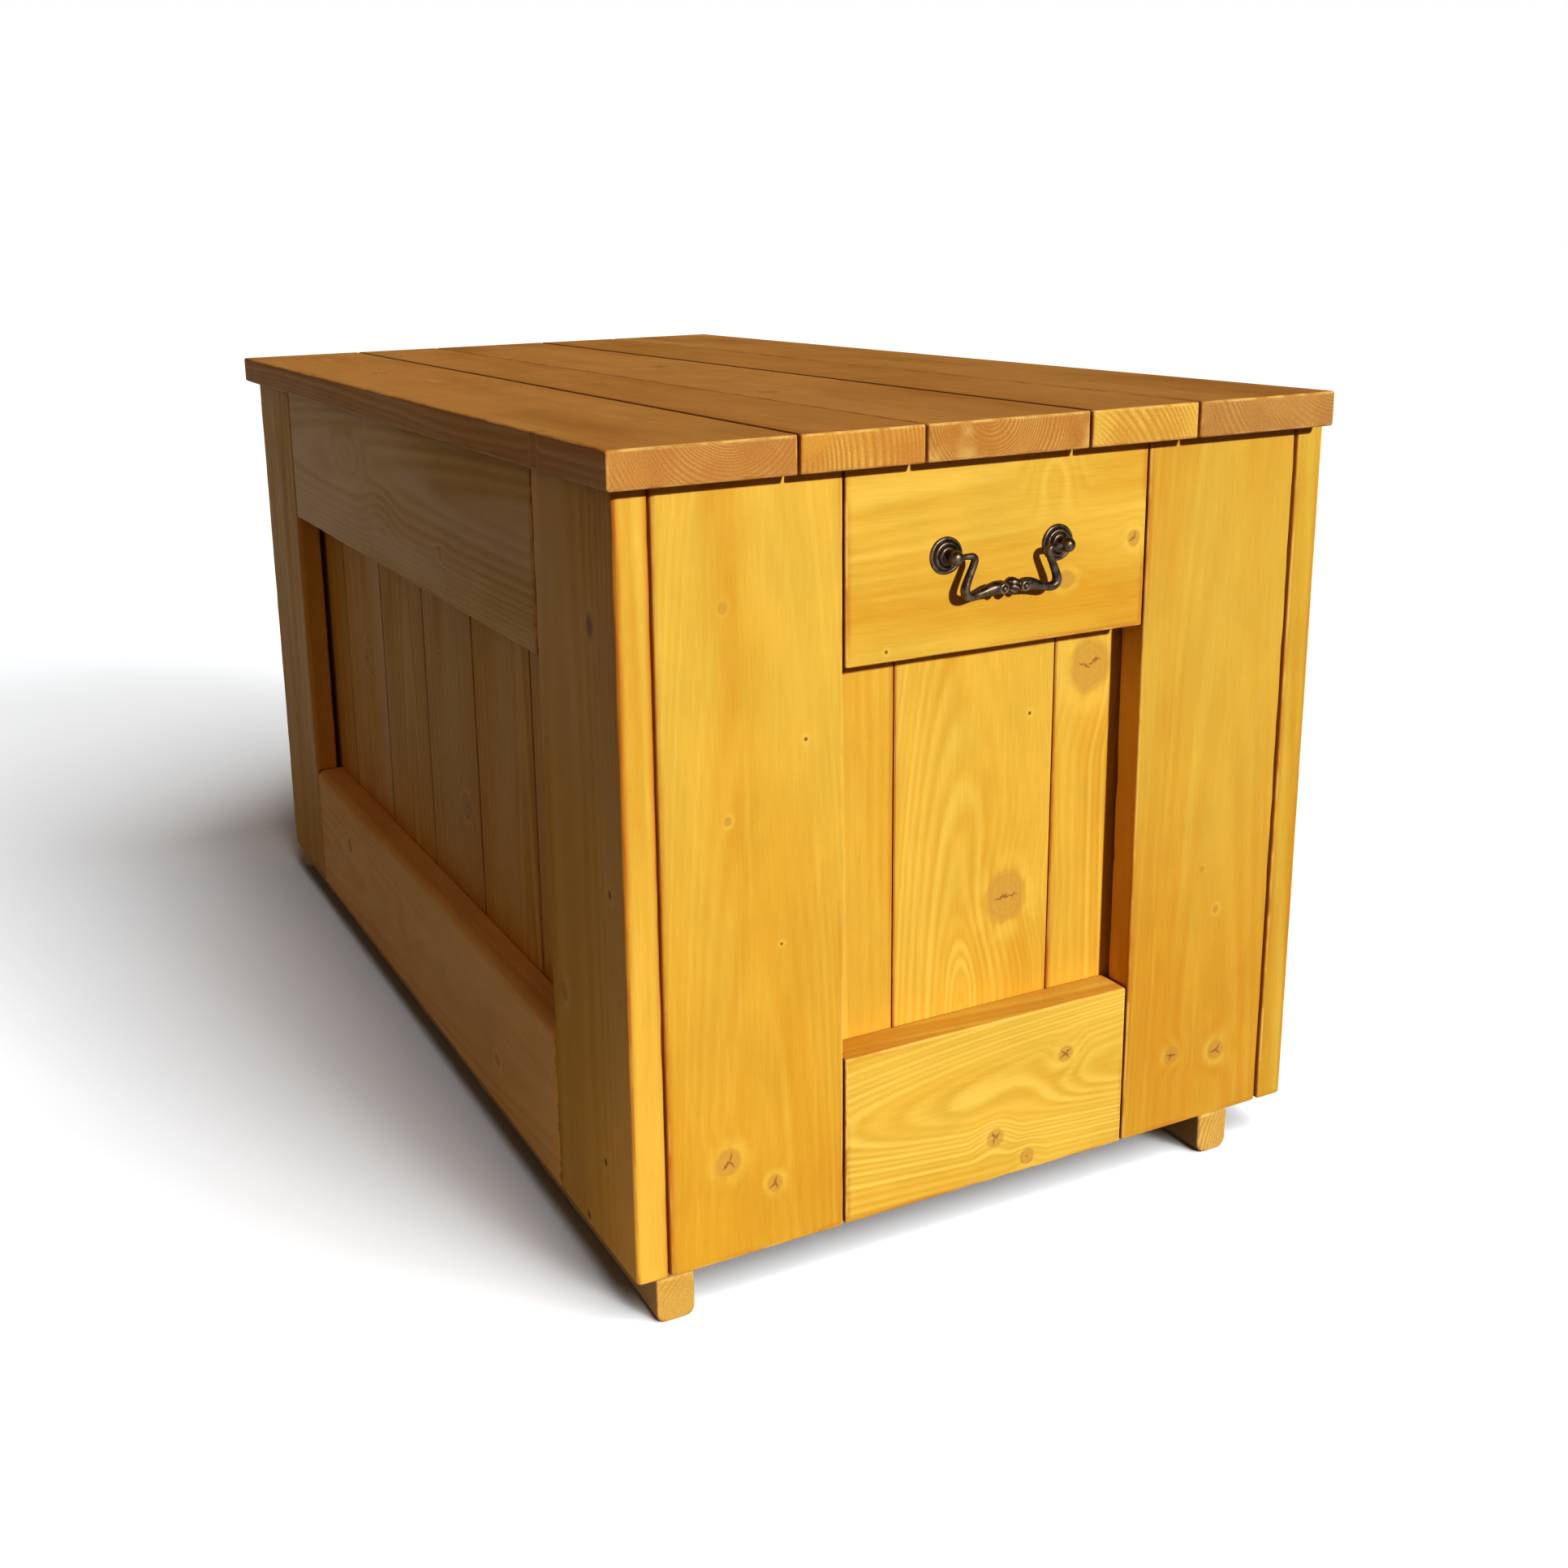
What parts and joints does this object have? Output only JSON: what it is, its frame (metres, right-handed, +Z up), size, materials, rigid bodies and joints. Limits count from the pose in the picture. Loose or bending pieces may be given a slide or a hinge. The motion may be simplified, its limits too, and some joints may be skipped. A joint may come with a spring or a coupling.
{
  "type": "lidded chest",
  "caption": "Free-standing lidded storage chest of framed softwood boards on skids, with a back-hinged plank lid and a swinging bail handle on each end.",
  "frame": {"origin": "on the floor, in the middle of the whole chest's footprint", "axes": "+X along the length to the right end, +Y from the front to the hinged back, +Z up"},
  "size_m": [1.078, 0.6112, 0.6315],
  "materials": {
    "frame_pine": "honey stain, satin wax",
    "lining_pine": "honey stain, satin wax",
    "lid_pine": "honey stain, satin wax",
    "inner_pine": "planed, bare",
    "bottom_pine": "planed, bare",
    "skid_pine": "honey stain, worn",
    "dowel_beech": "bare",
    "antique_bronze": "dark antique patina",
    "hinge_steel": "dull yellow plate"
  },
  "bodies": {
    "chest": {"back_bottom_rail": "frame_pine", "back_frame_dowels": "dowel_beech", "back_left_corner_post": "inner_pine", "back_left_stile": "frame_pine", "back_lining_boards": "lining_pine", "back_right_corner_post": "inner_pine", "back_right_stile": "frame_pine", "back_skid": "skid_pine", "back_top_rail": "frame_pine", "bottom_board_screws": "hinge_steel", "bottom_boards": "bottom_pine", "carcass_hinge_screws": "hinge_steel", "corner_post_screws": "hinge_steel", "front_bottom_rail": "frame_pine", "front_frame_dowels": "dowel_beech", "front_left_corner_post": "inner_pine", "front_left_stile": "frame_pine", "front_lining_boards": "lining_pine", "front_right_corner_post": "inner_pine", "front_right_stile": "frame_pine", "front_skid": "skid_pine", "front_top_rail": "frame_pine", "left_end_back_stile": "frame_pine", "left_end_bottom_rail": "frame_pine", "left_end_frame_dowels": "dowel_beech", "left_end_front_stile": "frame_pine", "left_end_lining_boards": "lining_pine", "left_end_top_rail": "frame_pine", "left_handle_posts": "antique_bronze", "left_handle_rosettes": "antique_bronze", "left_handle_screws": "hinge_steel", "left_hinge_carcass_leaf": "hinge_steel", "left_hinge_pin": "hinge_steel", "right_end_back_stile": "frame_pine", "right_end_bottom_rail": "frame_pine", "right_end_frame_dowels": "dowel_beech", "right_end_front_stile": "frame_pine", "right_end_lining_boards": "lining_pine", "right_end_top_rail": "frame_pine", "right_handle_posts": "antique_bronze", "right_handle_rosettes": "antique_bronze", "right_handle_screws": "hinge_steel", "right_hinge_carcass_leaf": "hinge_steel", "right_hinge_pin": "hinge_steel"},
    "lid": {"left_hinge_lid_leaf": "hinge_steel", "left_lid_batten": "inner_pine", "lid_batten_screws": "hinge_steel", "lid_hinge_screws": "hinge_steel", "lid_plank_1": "lid_pine", "lid_plank_2": "lid_pine", "lid_plank_3": "lid_pine", "lid_plank_4": "lid_pine", "lid_plank_5": "lid_pine", "middle_lid_batten": "inner_pine", "right_hinge_lid_leaf": "hinge_steel", "right_lid_batten": "inner_pine"},
    "right_handle": {"right_bail": "antique_bronze"},
    "left_handle": {"left_bail": "antique_bronze"}
  },
  "joints": [
    {"name": "lid_hinge", "type": "hinge", "parent": "chest", "child": "lid", "pos_m": [0, 0.3006, 0.607], "axis": [-1, 0, 0], "range_deg": [0, 110]},
    {"name": "right_bail_swing", "type": "hinge", "parent": "chest", "child": "right_handle", "pos_m": [0.532, 0.0056, 0.5363], "axis": [0, -1, 0], "range_deg": [-8, 172]},
    {"name": "left_bail_swing", "type": "hinge", "parent": "chest", "child": "left_handle", "pos_m": [-0.532, 0.0056, 0.5363], "axis": [0, 1, 0], "range_deg": [-8, 172]}
  ]
}
